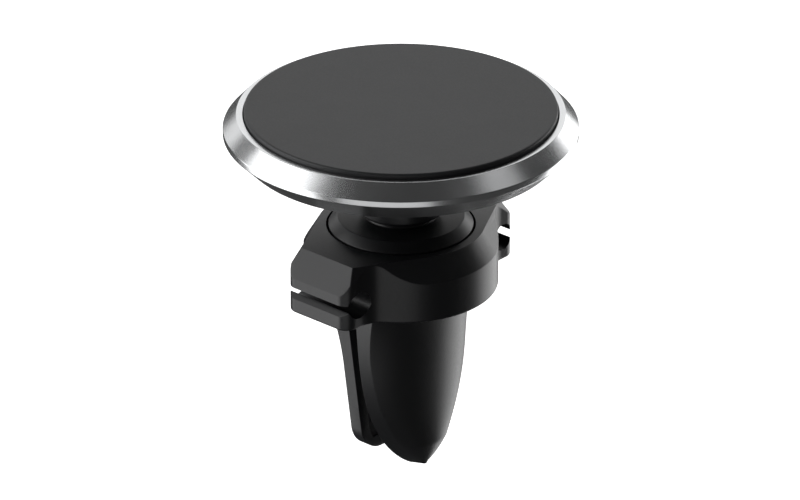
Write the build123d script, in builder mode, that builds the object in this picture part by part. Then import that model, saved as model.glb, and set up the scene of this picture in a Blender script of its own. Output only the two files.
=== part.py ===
"""Car phone mount: a magnetic head on a ball joint, over a vent clip with two cable clips.

Units are millimetres. +Z is up, through the head's face. The origin is the middle of the
body's underside, where the edge of a vent blade comes to rest between the two jaws.
The ears with the cable clips point along X, the long jaw is on the -Y side.
"""
from build123d import *
from math import cos, radians, sin, sqrt, tan
import os

os.makedirs("parts", exist_ok=True)

# ---- clearances
RUN_GAP = 0.05        # radial gap of every running fit
SEAT_GAP = 0.05       # gap between stacked pieces that turn on each other
FIT_GAP = 0.02        # gap round a seated or threaded piece

# ---- head: face plate, bezel ring and what they hold
HEAD_R = 22.0         # outside of the bezel ring
HEAD_H = 5.75         # underside of the ring to the top of the face plate
RING_W = 2.6          # bezel ring, from the face plate's rim to its outside
PLATE_T = 1.3
PLATE_PROUD = 0.65    # face plate above the ring's top land
PLATE_EDGE = 0.35     # rounding of the face plate's rim
SHADOW_GAP = 0.12     # groove between face plate and ring
LAND_W = 0.8          # flat top land of the ring
RIM_H = 0.75          # upright band round the ring's widest part
LOW_BEVEL = 2.5       # lower bevel, the same across and down
RIM_ROUND = 0.12      # rounding of the band's two edges
RING_WALL = 0.75      # ledge that carries the face plate
ADHESIVE_T = 0.15
ADHESIVE_INSET = 2.9  # adhesive disc inside the face plate's rim
HOLDER_T = 1.75       # magnet holder
MAGNET_COUNT = 6
MAGNET_R = 3.9
MAGNET_T = 1.5
MAGNET_CHAMFER = 0.15
MAGNET_CIRCLE_R = 10.5
YOKE_T = 0.8
YOKE_INSET = 1.2      # yoke plate inside the ring's bore
COVER_T = 1.25        # back cover at its rim
COVER_LIP = 0.45      # rebate in the ring that the back cover sits in
COVER_HOLLOW = 0.6    # hollow in the middle of the back cover's underside
COVER_HOLLOW_R = 9.0
COVER_SCREWS = 3
SCREW_TURN = 30       # degrees from +X to the first screw
COVER_SCREW_INSET = 2.65  # screws inside the ring's bore
SCREW_R = 0.7         # small screws: shank
SCREW_HEAD_R = 1.3
SCREW_HEAD_T = 0.6
SCREW_KEY = 0.7       # depth of the key, as a share of the head
COVER_SCREW_L = 3.3

# ---- ball joint: the head's ball sits in a lined cup on the neck
BALL_R = 4.0
BALL_SINK = 0.2       # top of the ball stands this far into the back cover's hollow
CUP_SINK = 0.4        # cup's hollow reaches this far into the spigot
STUD_NECK_R = 1.9
STUD_FLANGE_R = 5.4
STUD_FLANGE_T = 0.85
WASHER_T = 0.4
WASHER_W = 1.6
LINER_T = 0.5
LINER_BOTTOM = 2.6    # liner's lower edge below the ball's centre
LINER_TOP = 2.4       # liner's upper edge above the ball's centre
LINER_CUTS = 2        # cuts across the liner, two slits each
LINER_SLIT_W = 0.5
SOCKET_WALL = 0.85    # socket's wall at its widest hollow
SOCKET_BOTTOM_Z = 10.0
SOCKET_MOUTH = 2.6    # socket's mouth above the ball's centre
SOCKET_BEVEL = 0.85
SOCKET_FOOT = 0.4     # rounding under the socket

# ---- base: cap and body
SPIGOT_R = 3.0        # socket's spigot in the cap
SPIGOT_L = 3.0
TAIL_R = 1.25         # threaded tail through the deck
NUT_FLAT = 4.0        # across flats
NUT_T = 0.85
NUT_WASHER_R = 2.4
NUT_WASHER_T = 0.3
NECK_R = 4.34         # neck that flares out into the cap
NECK_FLARE = 0.7
PLATEAU_Z = 9.2
CAP_STEP = 1.4        # cap inside the body's flat top
CAP_BEVEL = 1.1
CAP_GROOVE = 0.3      # groove between cap and body
CAP_SEAT_Z = 6.2      # floor of the cap's counterbore
DECK_T = 1.6
BODY_H = 8.0
BODY_R = 12.1
TOP_STEP = 1.7        # flat top inside the body's wall
TOP_EAR_STEP = 2.0    # flat top short of each ear's outer face
TOP_EAR_NARROW = 1.8  # flat top's ear, narrower than the flat top's radius
SHOULDER_ANGLE = 31.0  # slope of the shoulder from the vertical
EDGE_ROUND = 0.3
EAR_REACH = 3.4       # ears beyond the round body
EAR_NARROW = 1.7      # ears, narrower than the body's radius
EAR_CORNER = 1.6
EAR_BLEND = 3.5       # hollow blend between ear and round body
FOOT_ROUND = 0.3

# ---- cable clips in the ears
CABLE_R = 1.75
CABLE_INSET = 2.3     # clip's axis inside the ear's outer face
CABLE_Z = 3.1
CABLE_SLOT = 0.6
CABLE_LEAD = 1.1      # depth of the flared lead-in
CABLE_MOUTH = 0.9     # how far the mouth flares down into the lower lip

# ---- underside
CAVITY_WALL = 2.2     # body's wall round the cavity
FLOOR_T = 1.2         # base plate
FLOOR_WALL = 1.0      # body's wall round the base plate
BODY_SCREW_X = 4.0
BODY_SCREW_INSET = 3.4  # body screws inside the body's wall, along Y
BODY_SCREW_L = 3.0
BOSS_R = 1.5

# ---- jaws
SLOT_W = 1.5          # gap between the jaws, for the vent blade
JAW_LEAN = 4.0        # degrees that the slot and both jaws lean towards the long jaw's side
JAW_W = 18.6
JAW_EDGE_T = 1.7     # thickness of a jaw along its edges
JAW_ROOT_SWELL = 1.5  # how much thicker the edges are at the root
JAW_SWELL_L = 9.0     # depth over which the edges thin down
JAW_ROOT_T = 6.2      # thickness of a jaw in its middle, at the root
JAW_TIP_T = 3.5       # the same near the tip
JAW_ROUNDNESS = 0.55  # most that the outer face swells, as a share of its half width
JAW_TIP_W = 1.0       # width of the long jaw where its rounded tip begins
JAW_TIP_EDGE = 0.35   # half width of the outer face at the very tip
JAW_SECTIONS = 9
LONG_JAW_L = 24.4
LONG_DRAFT = 1.2      # outer edges inside the inner edges, at the tip
TONGUE_P = 3.4        # shape of the long jaw's tongue outline
TONGUE_Q = 0.78
SHORT_JAW_L = 20.9
SHORT_DRAFT = 0.0
SHORT_TIP_W = 15.2
SHORT_CORNER = 3.2
JAW_LAND = 1.5        # rim of the inner face round the core and pad
CORE_T = 0.9
CORE_DEPTH = 0.55     # core below the inner face
PAD_RECESS = 0.12     # pad below the inner face
PAD_INSET = 0.1       # pad inside the core's outline
ROOT_DEPTH = 2.0      # how far the core's thick root reaches below the body
PIVOT_Y = 3.6
PIVOT_Z = 2.45
BARREL_R = 1.1
BARREL_L = 13.0
BARREL_NOTCH = 3.4    # middle of the barrel, where the spring sits
PIN_R = 0.6
PIN_L = 16.8
RIB_X = 7.7           # ribs that hold the pins
RIB_T = 1.2
RIB_W = 2.2
RIB_LOW_Z = 1.5
SNAP_W = 1.0          # snap-in opening under each pin
WINDOW_GAP = 0.42     # room round a jaw where it passes through the base plate
WEB_W = 0.9           # base plate between the jaws
WIRE_R = 0.15
COIL_TURNS = 4
COIL_PITCH = 0.36
LEG_L = 1.0

# ---- levels and sizes that follow
liner_in_r = BALL_R + RUN_GAP
liner_out_r = liner_in_r + LINER_T
socket_in_r = liner_out_r + RUN_GAP
socket_r = socket_in_r + SOCKET_WALL
ball_z = SOCKET_BOTTOM_Z + socket_in_r - CUP_SINK
socket_top_z = ball_z + SOCKET_MOUTH
head_base_z = ball_z + BALL_R - BALL_SINK
plate_r = HEAD_R - RING_W
adhesive_r = plate_r - ADHESIVE_INSET
face_z = head_base_z + HEAD_H
land_z = face_z - PLATE_PROUD
rim_low_z = head_base_z + LOW_BEVEL
rim_top_z = rim_low_z + RIM_H
plate_bore_r = plate_r + SHADOW_GAP
land_r = plate_bore_r + LAND_W
ring_bore_r = plate_r - RING_WALL
cover_screw_r = ring_bore_r - COVER_SCREW_INSET
plate_z = face_z - PLATE_T
adhesive_z = plate_z - ADHESIVE_T
holder_z = adhesive_z - HOLDER_T
yoke_z = holder_z - YOKE_T
cover_r = HEAD_R - LOW_BEVEL - COVER_LIP
cover_top_z = head_base_z + COVER_T
hollow_z = head_base_z + COVER_HOLLOW
flange_z = cover_top_z + SEAT_GAP
washer_z = flange_z + STUD_FLANGE_T + SEAT_GAP
deck_z = CAP_SEAT_Z - DECK_T
top_r = BODY_R - TOP_STEP
cap_r = top_r - CAP_STEP
ear_x = BODY_R + EAR_REACH
top_ear_x = ear_x - TOP_EAR_STEP
ear_w = BODY_R - EAR_NARROW
top_ear_w = top_r - TOP_EAR_NARROW
cable_x = ear_x - CABLE_INSET
cavity_r = BODY_R - CAVITY_WALL
floor_r = BODY_R - FLOOR_WALL
body_screw_y = BODY_R - BODY_SCREW_INSET
jaw_in_y = SLOT_W / 2
root_edge_t = JAW_EDGE_T + JAW_ROOT_SWELL
jaw_edge_y = jaw_in_y + root_edge_t
root_bulge = JAW_ROOT_T - root_edge_t
lean_slope = tan(radians(JAW_LEAN))
boot_top_z = FLOOR_T - SEAT_GAP
root_half_w = JAW_W / 2
core_y = jaw_in_y + CORE_DEPTH + ROOT_DEPTH * lean_slope
boss_places = [(x, y) for x in (-BODY_SCREW_X, BODY_SCREW_X) for y in (-body_screw_y, body_screw_y)]
coil_r = PIN_R + RUN_GAP + WIRE_R
LONG_SIDE = -1        # the long jaw is on the -Y side of the slot
SHORT_SIDE = 1


def long_half_width(depth):
    """Half width of the long jaw at a depth below the body: a tongue that rounds to its tip."""
    share = min(max(depth / LONG_JAW_L, 0.0), 1.0)
    return root_half_w * (1.0 - share**TONGUE_P) ** TONGUE_Q


def short_half_width(depth):
    """Half width of the short jaw at a depth below the body: straight sides to a blunt end."""
    share = min(max(depth / SHORT_JAW_L, 0.0), 1.0)
    into_corner = min(max(depth - SHORT_JAW_L + SHORT_CORNER, 0.0), SHORT_CORNER)
    corner = SHORT_CORNER - sqrt(SHORT_CORNER**2 - into_corner**2)
    return root_half_w + (SHORT_TIP_W / 2 - root_half_w) * share - corner


def edge_at(depth):
    """Thickness of a jaw's edges at a depth below the body."""
    share = min(max(depth / JAW_SWELL_L, 0.0), 1.0)
    return JAW_EDGE_T + JAW_ROOT_SWELL * (1 - share) ** 2


def bulge_at(depth, length, half_w):
    """Swelling of a jaw's outer face beyond its edges at a depth below the body."""
    share = min(max(depth / length, 0.0), 1.0)
    middle = JAW_ROOT_T + (JAW_TIP_T - JAW_ROOT_T) * share
    return min(middle - edge_at(depth), JAW_ROUNDNESS * half_w)


def section_line(side, inner_w, outer_w, inner, edge, bulge, depth=0.0):
    """Draw a jaw's level section: flat inner face, short sides and a swelling outer face."""
    lean = LONG_SIDE * depth * lean_slope
    Polyline(
        (-outer_w, side * edge + lean),
        (-inner_w, side * inner + lean),
        (inner_w, side * inner + lean),
        (outer_w, side * edge + lean),
    )
    middle = (0, side * (edge + bulge) + lean)
    ThreePointArc((outer_w, side * edge + lean), middle, (-outer_w, side * edge + lean))


def jaw_plane(side, distance):
    """Plane along a jaw, at a distance outwards from its leaning inner face."""
    lean = radians(JAW_LEAN)
    outwards = (0, side * cos(lean), LONG_SIDE * side * sin(lean))
    inner_face = Plane(origin=(0, side * jaw_in_y, 0), x_dir=(-side, 0, 0), z_dir=outwards)
    return inner_face.offset(distance)


def tongue_line(half_width, length, inset):
    """Draw the outline of a core or a pad, set in from a jaw's outline by an inset."""
    end = length - inset
    depths = [end * (1 - (1 - i / JAW_SECTIONS) ** 2) for i in range(JAW_SECTIONS + 1)]
    right = [(max(half_width(depth) - inset, JAW_TIP_W / 4), -depth) for depth in depths]
    left = [(-x, z) for x, z in reversed(right)]
    Polyline(*right, *left, close=True)


# ======================================================================= head
with BuildPart() as face_plate:
    with BuildSketch(Plane.XY.offset(plate_z)):
        Circle(plate_r)
    extrude(amount=PLATE_T)
    fillet(face_plate.edges().group_by(Axis.Z)[-1], PLATE_EDGE)
face_plate.part.label = "face_plate"
export_step(face_plate.part, "parts/face_plate.step")

with BuildPart() as face_adhesive:
    with BuildSketch(Plane.XY.offset(adhesive_z)):
        Circle(adhesive_r)
    extrude(amount=ADHESIVE_T)
face_adhesive.part.label = "face_adhesive"
export_step(face_adhesive.part, "parts/face_adhesive.step")

with BuildPart() as bezel_ring:
    with BuildSketch(Plane.XZ):
        with BuildLine():
            Polyline(
                (ring_bore_r, cover_top_z),
                (ring_bore_r, plate_z),
                (plate_bore_r, plate_z),
                (plate_bore_r, land_z),
                (land_r, land_z),
                (HEAD_R, rim_top_z),
                (HEAD_R, rim_low_z),
                (HEAD_R - LOW_BEVEL, head_base_z),
                (cover_r + FIT_GAP, head_base_z),
                (cover_r + FIT_GAP, cover_top_z),
                close=True,
            )
        make_face()
    revolve(axis=Axis.Z)
    circles = bezel_ring.edges().filter_by(GeomType.CIRCLE)
    fillet(circles.filter_by(lambda edge: edge.radius > HEAD_R - FIT_GAP), RIM_ROUND)
bezel_ring.part.label = "bezel_ring"
export_step(bezel_ring.part, "parts/bezel_ring.step")

with BuildPart() as magnet_holder:
    with BuildSketch(Plane.XY.offset(holder_z)):
        Circle(ring_bore_r - FIT_GAP)
    extrude(amount=HOLDER_T)
    with BuildSketch(Plane.XY.offset(holder_z)):
        with PolarLocations(MAGNET_CIRCLE_R, MAGNET_COUNT):
            Circle(MAGNET_R + FIT_GAP)
    extrude(amount=MAGNET_T + FIT_GAP, mode=Mode.SUBTRACT)
    with BuildSketch(Plane.XY.offset(holder_z)):
        with PolarLocations(cover_screw_r, COVER_SCREWS, start_angle=SCREW_TURN):
            Circle(SCREW_R + FIT_GAP)
    extrude(amount=HOLDER_T, mode=Mode.SUBTRACT)
magnet_holder.part.label = "magnet_holder"
export_step(magnet_holder.part, "parts/magnet_holder.step")

with BuildPart() as magnets:
    with BuildSketch(Plane.XY.offset(holder_z)):
        with PolarLocations(MAGNET_CIRCLE_R, MAGNET_COUNT):
            Circle(MAGNET_R)
    extrude(amount=MAGNET_T)
    chamfer(magnets.edges().group_by(Axis.Z)[-1], MAGNET_CHAMFER)
magnets.part.label = "magnets"
export_step(magnets.part, "parts/magnets.step")

with BuildPart() as yoke_plate:
    with BuildSketch(Plane.XY.offset(yoke_z)):
        Circle(ring_bore_r - YOKE_INSET)
        Circle(STUD_FLANGE_R + 2 * RUN_GAP, mode=Mode.SUBTRACT)
        with PolarLocations(cover_screw_r, COVER_SCREWS, start_angle=SCREW_TURN):
            Circle(SCREW_R + RUN_GAP, mode=Mode.SUBTRACT)
    extrude(amount=YOKE_T)
yoke_plate.part.label = "yoke_plate"
export_step(yoke_plate.part, "parts/yoke_plate.step")

with BuildPart() as spacer_plate:
    with BuildSketch(Plane.XY.offset(cover_top_z)):
        Circle(ring_bore_r - YOKE_INSET)
        Circle(STUD_FLANGE_R + 2 * RUN_GAP, mode=Mode.SUBTRACT)
        with PolarLocations(cover_screw_r, COVER_SCREWS, start_angle=SCREW_TURN):
            Circle(SCREW_R + RUN_GAP, mode=Mode.SUBTRACT)
    extrude(amount=yoke_z - cover_top_z)
spacer_plate.part.label = "spacer_plate"
export_step(spacer_plate.part, "parts/spacer_plate.step")

# The back cover is a dished disc with a bore for the ball stud's neck.
with BuildPart() as back_cover:
    with BuildSketch(Plane.XZ):
        with BuildLine():
            Polyline(
                (cover_r, cover_top_z),
                (cover_r, head_base_z),
                (COVER_HOLLOW_R + COVER_HOLLOW, head_base_z),
                (COVER_HOLLOW_R, hollow_z),
                (STUD_NECK_R + RUN_GAP, hollow_z),
                (STUD_NECK_R + RUN_GAP, cover_top_z),
                close=True,
            )
        make_face()
    revolve(axis=Axis.Z)
    with BuildSketch(Plane.XY.offset(head_base_z)):
        with PolarLocations(cover_screw_r, COVER_SCREWS, start_angle=SCREW_TURN):
            Circle(SCREW_R + RUN_GAP)
    extrude(amount=COVER_T, mode=Mode.SUBTRACT)
    with BuildSketch(Plane.XY.offset(head_base_z)):
        with PolarLocations(cover_screw_r, COVER_SCREWS, start_angle=SCREW_TURN):
            Circle(SCREW_HEAD_R + RUN_GAP)
    extrude(amount=SCREW_HEAD_T, mode=Mode.SUBTRACT)
back_cover.part.label = "back_cover"
export_step(back_cover.part, "parts/back_cover.step")

with BuildPart() as back_cover_screws:
    with BuildSketch(Plane.XY.offset(head_base_z + FIT_GAP)):
        with PolarLocations(cover_screw_r, COVER_SCREWS, start_angle=SCREW_TURN):
            Circle(SCREW_HEAD_R)
    extrude(amount=SCREW_HEAD_T - FIT_GAP)
    with BuildSketch(Plane.XY.offset(head_base_z + SCREW_HEAD_T)):
        with PolarLocations(cover_screw_r, COVER_SCREWS, start_angle=SCREW_TURN):
            Circle(SCREW_R)
    extrude(amount=COVER_SCREW_L)
    with BuildSketch(Plane.XY.offset(head_base_z)):
        with PolarLocations(cover_screw_r, COVER_SCREWS, start_angle=SCREW_TURN):
            RegularPolygon(SCREW_HEAD_R / 2, 6)
    extrude(amount=SCREW_HEAD_T * SCREW_KEY, mode=Mode.SUBTRACT)
back_cover_screws.part.label = "back_cover_screws"
export_step(back_cover_screws.part, "parts/back_cover_screws.step")

with BuildPart() as swivel_washer:
    with BuildSketch(Plane.XY.offset(washer_z)):
        Circle(STUD_FLANGE_R)
        Circle(STUD_FLANGE_R - WASHER_W, mode=Mode.SUBTRACT)
    extrude(amount=min(WASHER_T, holder_z - washer_z))
swivel_washer.part.label = "swivel_washer"
export_step(swivel_washer.part, "parts/swivel_washer.step")

# ================================================================= ball joint
# The stud: a ball, a short neck and a flange that the head swivels on.
with BuildPart() as ball_stud:
    with Locations((0, 0, ball_z)):
        Sphere(BALL_R)
    with BuildSketch(Plane.XY.offset(ball_z)):
        Circle(STUD_NECK_R)
    extrude(amount=flange_z - ball_z)
    with BuildSketch(Plane.XY.offset(flange_z)):
        Circle(STUD_FLANGE_R)
    extrude(amount=STUD_FLANGE_T)
ball_stud.part.label = "ball_stud"
export_step(ball_stud.part, "parts/ball_stud.step")

with BuildPart() as socket_liner:
    with Locations((0, 0, ball_z)):
        Sphere(liner_out_r)
        Sphere(liner_in_r, mode=Mode.SUBTRACT)
    split(bisect_by=Plane.XY.offset(ball_z - LINER_BOTTOM), keep=Keep.TOP)
    split(bisect_by=Plane.XY.offset(ball_z + LINER_TOP), keep=Keep.BOTTOM)
    with BuildSketch(Plane.XY.offset(ball_z)):
        with PolarLocations(0, LINER_CUTS, angular_range=180):
            Rectangle(3 * liner_out_r, LINER_SLIT_W)
    extrude(amount=LINER_TOP, mode=Mode.SUBTRACT)
socket_liner.part.label = "socket_liner"
export_step(socket_liner.part, "parts/socket_liner.step")

# The socket: a cup round the liner, a spigot in the cap and a threaded tail.
with BuildPart() as ball_socket:
    with BuildSketch(Plane.XY.offset(SOCKET_BOTTOM_Z)):
        Circle(socket_r)
    extrude(amount=socket_top_z - SOCKET_BOTTOM_Z)
    chamfer(ball_socket.edges().group_by(Axis.Z)[-1], SOCKET_BEVEL)
    fillet(ball_socket.edges().group_by(Axis.Z)[0], SOCKET_FOOT)
    with BuildSketch(Plane.XY.offset(SOCKET_BOTTOM_Z - SPIGOT_L)):
        Circle(SPIGOT_R)
    extrude(amount=SPIGOT_L)
    with BuildSketch(Plane.XY.offset(deck_z - NUT_WASHER_T - NUT_T)):
        Circle(TAIL_R)
    extrude(amount=SOCKET_BOTTOM_Z - deck_z + NUT_T + NUT_WASHER_T - SPIGOT_L)
    with Locations((0, 0, ball_z)):
        Sphere(socket_in_r, mode=Mode.SUBTRACT)
ball_socket.part.label = "ball_socket"
export_step(ball_socket.part, "parts/ball_socket.step")

with BuildPart() as socket_washer:
    with BuildSketch(Plane.XY.offset(deck_z - NUT_WASHER_T)):
        Circle(NUT_WASHER_R)
        Circle(TAIL_R + FIT_GAP, mode=Mode.SUBTRACT)
    extrude(amount=NUT_WASHER_T)
socket_washer.part.label = "socket_washer"
export_step(socket_washer.part, "parts/socket_washer.step")

with BuildPart() as socket_nut:
    with BuildSketch(Plane.XY.offset(deck_z - NUT_WASHER_T - NUT_T)):
        RegularPolygon(NUT_FLAT / 2, 6, major_radius=False)
        Circle(TAIL_R + FIT_GAP, mode=Mode.SUBTRACT)
    extrude(amount=NUT_T)
socket_nut.part.label = "socket_nut"
export_step(socket_nut.part, "parts/socket_nut.step")

# ======================================================================= base
# The cap: a bevelled disc with a neck that flares into it.
with BuildPart() as neck_cap:
    with BuildSketch(Plane.XZ):
        with BuildLine():
            Polyline(
                (SPIGOT_R + FIT_GAP, SOCKET_BOTTOM_Z - SPIGOT_L),
                (SPIGOT_R + FIT_GAP, SOCKET_BOTTOM_Z),
                (NECK_R, SOCKET_BOTTOM_Z),
                (NECK_R, PLATEAU_Z),
                (cap_r - CAP_BEVEL, PLATEAU_Z),
                (cap_r, PLATEAU_Z - CAP_BEVEL),
                (cap_r, CAP_SEAT_Z),
                (TAIL_R + FIT_GAP, CAP_SEAT_Z),
                (TAIL_R + FIT_GAP, SOCKET_BOTTOM_Z - SPIGOT_L),
                close=True,
            )
        make_face()
    revolve(axis=Axis.Z)
    flare = neck_cap.edges().filter_by(GeomType.CIRCLE)
    flare = flare.filter_by(lambda edge: abs(edge.radius - NECK_R) < FIT_GAP)
    fillet(flare.sort_by(Axis.Z)[0], min(NECK_FLARE, SOCKET_BOTTOM_Z - PLATEAU_Z - FIT_GAP))
neck_cap.part.label = "neck_cap"
export_step(neck_cap.part, "parts/neck_cap.step")

# The body: a plan outline with two ears, cut back by a shoulder that slopes down all round.
with BuildPart() as body_shell:
    with BuildSketch(Plane.XY) as plan:
        Circle(BODY_R)
        Rectangle(2 * ear_x, ear_w)
        hollow = plan.vertices().filter_by(lambda v: BODY_R / 2 < abs(v.X) < ear_x - EAR_CORNER)
        fillet(hollow, EAR_BLEND)
        tips = plan.vertices().filter_by(lambda v: abs(v.X) > ear_x - FIT_GAP)
        fillet(tips, EAR_CORNER)
    extrude(amount=BODY_H)
    with BuildSketch(Plane.XY.offset(BODY_H), mode=Mode.PRIVATE) as flat_top:
        Circle(top_r)
        Rectangle(2 * top_ear_x, top_ear_w)
        make_hull()
    extrude(flat_top.sketch, amount=-BODY_H, taper=-SHOULDER_ANGLE, mode=Mode.INTERSECT)
    rim = body_shell.edges().group_by(Axis.Z)[-1]
    upper = body_shell.edges().filter_by(lambda edge: edge.bounding_box().min.Z > BODY_H / 4)
    fillet(upper.filter_by(lambda edge: edge not in rim), EDGE_ROUND)
    fillet(body_shell.edges().group_by(Axis.Z)[0], FOOT_ROUND)
    with BuildSketch(Plane.XY.offset(BODY_H)):
        Circle(cap_r + CAP_GROOVE)
    extrude(amount=CAP_SEAT_Z - BODY_H, mode=Mode.SUBTRACT)
    with BuildSketch(Plane.XY.offset(deck_z)):
        Circle(TAIL_R + FIT_GAP)
    extrude(amount=DECK_T, mode=Mode.SUBTRACT)
    with BuildSketch(Plane.XY):
        Circle(cavity_r)
        with Locations(*boss_places):
            Circle(BOSS_R, mode=Mode.SUBTRACT)
    extrude(amount=deck_z, mode=Mode.SUBTRACT)
    with BuildSketch(Plane.XY):
        Circle(floor_r + RUN_GAP)
    extrude(amount=FLOOR_T, mode=Mode.SUBTRACT)
    with BuildSketch(Plane.XY):
        with Locations(*boss_places):
            Circle(SCREW_R + FIT_GAP)
    extrude(amount=deck_z, mode=Mode.SUBTRACT)
    with BuildSketch(Plane.XZ):
        for side in (1, -1):
            with Locations((side * cable_x, CABLE_Z)):
                Circle(CABLE_R)
            with BuildLine():
                Polyline(
                    (side * cable_x, CABLE_Z - CABLE_SLOT / 2),
                    (side * (ear_x - CABLE_LEAD), CABLE_Z - CABLE_SLOT / 2),
                    (side * ear_x, CABLE_Z - CABLE_SLOT / 2 - CABLE_MOUTH),
                    (side * ear_x, CABLE_Z + CABLE_SLOT / 2),
                    (side * cable_x, CABLE_Z + CABLE_SLOT / 2),
                    close=True,
                )
            make_face()
    extrude(amount=BODY_R, both=True, mode=Mode.SUBTRACT)
    with BuildSketch(Plane.XY.offset(RIB_LOW_Z)):
        with GridLocations(2 * RIB_X, 2 * PIVOT_Y, 2, 2):
            Rectangle(RIB_T, RIB_W)
    extrude(amount=deck_z - RIB_LOW_Z)
    with BuildSketch(Plane.XY.offset(RIB_LOW_Z)):
        with GridLocations(2 * RIB_X, 2 * PIVOT_Y, 2, 2):
            Rectangle(RIB_T, SNAP_W)
    extrude(amount=PIVOT_Z - RIB_LOW_Z, mode=Mode.SUBTRACT)
    with BuildSketch(Plane.YZ.offset(-PIN_L / 2)):
        with Locations((-PIVOT_Y, PIVOT_Z), (PIVOT_Y, PIVOT_Z)):
            Circle(PIN_R + FIT_GAP)
    extrude(amount=PIN_L, mode=Mode.SUBTRACT)
body_shell.part.label = "body_shell"
export_step(body_shell.part, "parts/body_shell.step")

# The base plate closes the body from below and has a window for each jaw.
with BuildPart() as base_plate:
    with BuildSketch(Plane.XY):
        Circle(floor_r)
    extrude(amount=FLOOR_T)
    with BuildSketch(Plane.XY):
        for side in (LONG_SIDE, SHORT_SIDE):
            with BuildLine():
                window_w = root_half_w + WINDOW_GAP
                section_line(side, window_w, window_w, WEB_W / 2, jaw_edge_y + WINDOW_GAP, root_bulge)
            make_face()
    extrude(amount=FLOOR_T, mode=Mode.SUBTRACT)
    with BuildSketch(Plane.XY):
        with Locations(*boss_places):
            Circle(SCREW_R + RUN_GAP)
    extrude(amount=FLOOR_T, mode=Mode.SUBTRACT)
    with BuildSketch(Plane.XY):
        with Locations(*boss_places):
            Circle(SCREW_HEAD_R + RUN_GAP)
    extrude(amount=SCREW_HEAD_T, mode=Mode.SUBTRACT)
base_plate.part.label = "base_plate"
export_step(base_plate.part, "parts/base_plate.step")

with BuildPart() as body_screws:
    with BuildSketch(Plane.XY.offset(FIT_GAP)):
        with Locations(*boss_places):
            Circle(SCREW_HEAD_R)
    extrude(amount=SCREW_HEAD_T - FIT_GAP)
    with BuildSketch(Plane.XY.offset(SCREW_HEAD_T)):
        with Locations(*boss_places):
            Circle(SCREW_R)
    extrude(amount=BODY_SCREW_L)
    with BuildSketch(Plane.XY):
        with Locations(*boss_places):
            RegularPolygon(SCREW_HEAD_R / 2, 6)
    extrude(amount=SCREW_HEAD_T * SCREW_KEY, mode=Mode.SUBTRACT)
body_screws.part.label = "body_screws"
export_step(body_screws.part, "parts/body_screws.step")

with BuildPart() as jaw_pins:
    with BuildSketch(Plane.YZ.offset(-PIN_L / 2)):
        with Locations((-PIVOT_Y, PIVOT_Z), (PIVOT_Y, PIVOT_Z)):
            Circle(PIN_R)
    extrude(amount=PIN_L)
    chamfer(jaw_pins.edges().filter_by(GeomType.CIRCLE), PIN_R / 4)
jaw_pins.part.label = "jaw_pins"
export_step(jaw_pins.part, "parts/jaw_pins.step")

# Torsion springs: a coil round each pin in the barrel's notch, with a straight leg at each end.
with BuildPart() as jaw_springs:
    for side in (LONG_SIDE, SHORT_SIDE):
        coil_l = COIL_PITCH * COIL_TURNS
        with BuildLine() as coil:
            Helix(COIL_PITCH, coil_l, coil_r, (-coil_l / 2, side * PIVOT_Y, PIVOT_Z), (1, 0, 0))
        with BuildSketch(Plane(coil.line @ 0, z_dir=coil.line % 0)):
            Circle(WIRE_R)
        sweep(path=coil.line, is_frenet=True)
        for place, way in ((0, -LEG_L), (1, LEG_L)):
            with BuildSketch(Plane(coil.line @ place, z_dir=coil.line % place)):
                Circle(WIRE_R)
            extrude(amount=way)
jaw_springs.part.label = "jaw_springs"
export_step(jaw_springs.part, "parts/jaw_springs.step")

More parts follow.
